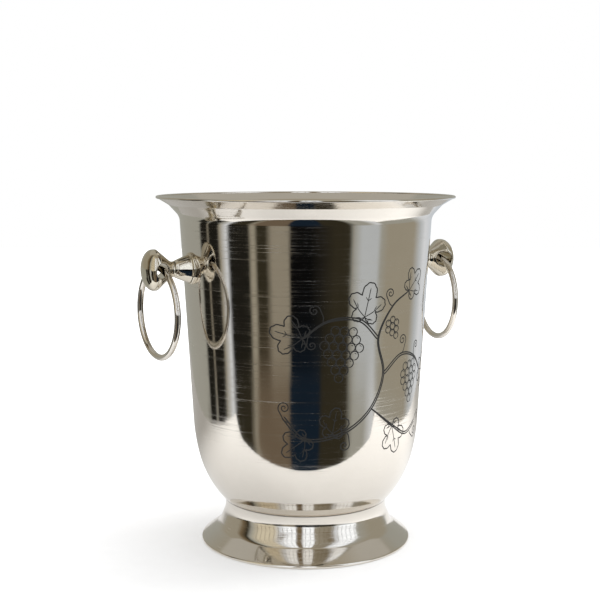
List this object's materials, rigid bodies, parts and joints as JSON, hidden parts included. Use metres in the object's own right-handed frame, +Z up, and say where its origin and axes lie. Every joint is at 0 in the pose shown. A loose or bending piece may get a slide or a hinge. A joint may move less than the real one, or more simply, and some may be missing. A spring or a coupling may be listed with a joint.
{
  "type": "champagne bucket",
  "caption": "Footed sheet-metal wine-cooling bucket with a flared wire-edged rim and loose drop-ring handles on bolted posts.",
  "frame": {"origin": "middle of the footprint, on the table", "axes": "+Z up along the bowl's axis, +X out along the right handle post, the engraved front faces -Y"},
  "size_m": [0.26, 0.225, 0.264],
  "materials": {
    "spun_silver": "mirror polished, faint spinning lines",
    "bright_silver": "mirror polished",
    "cast_silver": "polished casting",
    "plain_steel": "zinc plated",
    "soft_solder": "dull grey",
    "black_rubber": "matte"
  },
  "bodies": {
    "bucket": {"bowl": "spun_silver", "rim_wire": "bright_silver", "foot": "spun_silver", "foot_wire": "plain_steel", "foot_solder": "soft_solder", "left_post": "cast_silver", "left_screw": "plain_steel", "left_washer": "plain_steel", "left_seal": "black_rubber", "right_post": "cast_silver", "right_screw": "plain_steel", "right_washer": "plain_steel", "right_seal": "black_rubber"},
    "left_ring": {"left_ring": "bright_silver"},
    "right_ring": {"right_ring": "bright_silver"}
  },
  "joints": [
    {"name": "left_ring_swing", "type": "hinge", "parent": "bucket", "child": "left_ring", "pos_m": [-0.11848, 0, 0.2123], "axis": [0, 1, 0], "range_deg": [-24, 180]},
    {"name": "right_ring_swing", "type": "hinge", "parent": "bucket", "child": "right_ring", "pos_m": [0.11848, 0, 0.2123], "axis": [0, -1, 0], "range_deg": [-24, 180]}
  ]
}
